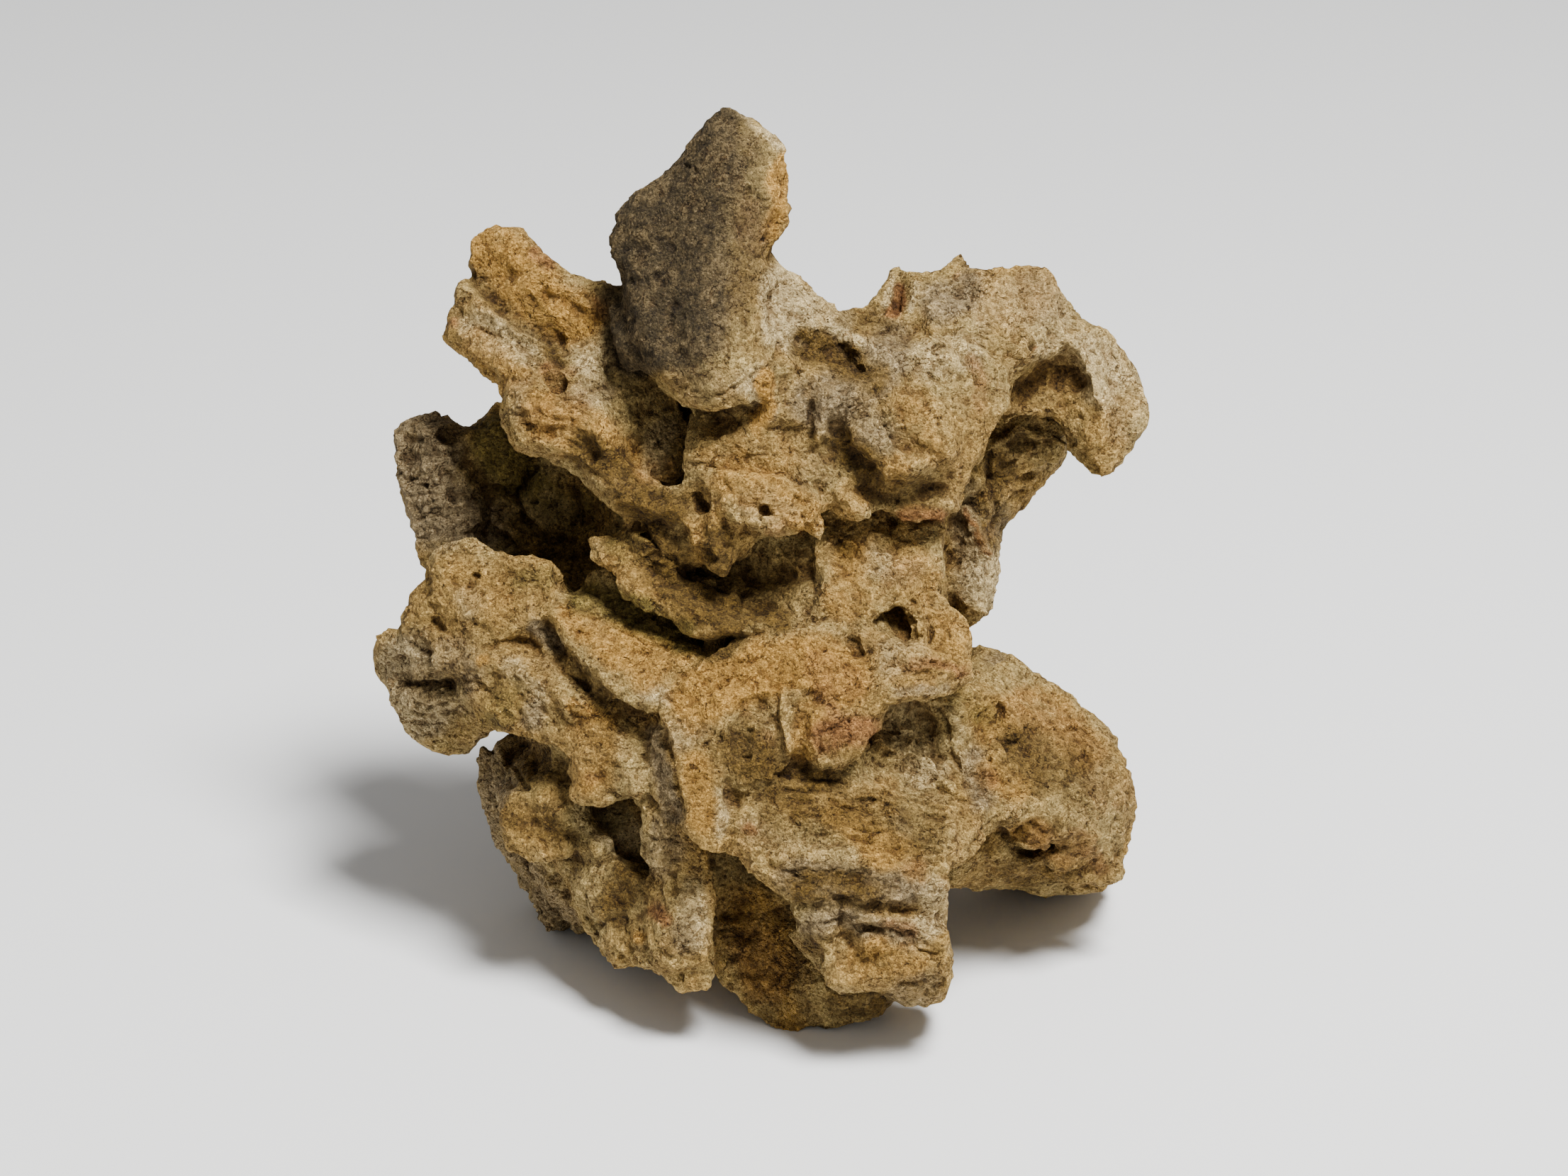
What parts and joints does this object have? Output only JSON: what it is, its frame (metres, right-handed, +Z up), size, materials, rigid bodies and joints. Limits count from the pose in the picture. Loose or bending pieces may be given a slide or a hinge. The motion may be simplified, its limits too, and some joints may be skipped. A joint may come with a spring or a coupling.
{
  "type": "limestone rock",
  "caption": "Gnarled free-standing limestone rock with a blunt horn, ragged ledges, a hooked arm and a sloping slab, resting on level feet.",
  "frame": {"origin": "the middle of the bounding box's base, on the ground under the rock", "axes": "+Z up; -Y towards the side that the picture shows, which is the rock's front; +X to the viewer's right"},
  "size_m": [0.1926, 0.1542, 0.2131],
  "materials": {
    "limestone": "rough, gritty and matte; ochre and grey-brown with rust-coloured patches"
  },
  "bodies": {
    "root": {"limestone_rock": "limestone"}
  },
  "joints": []
}
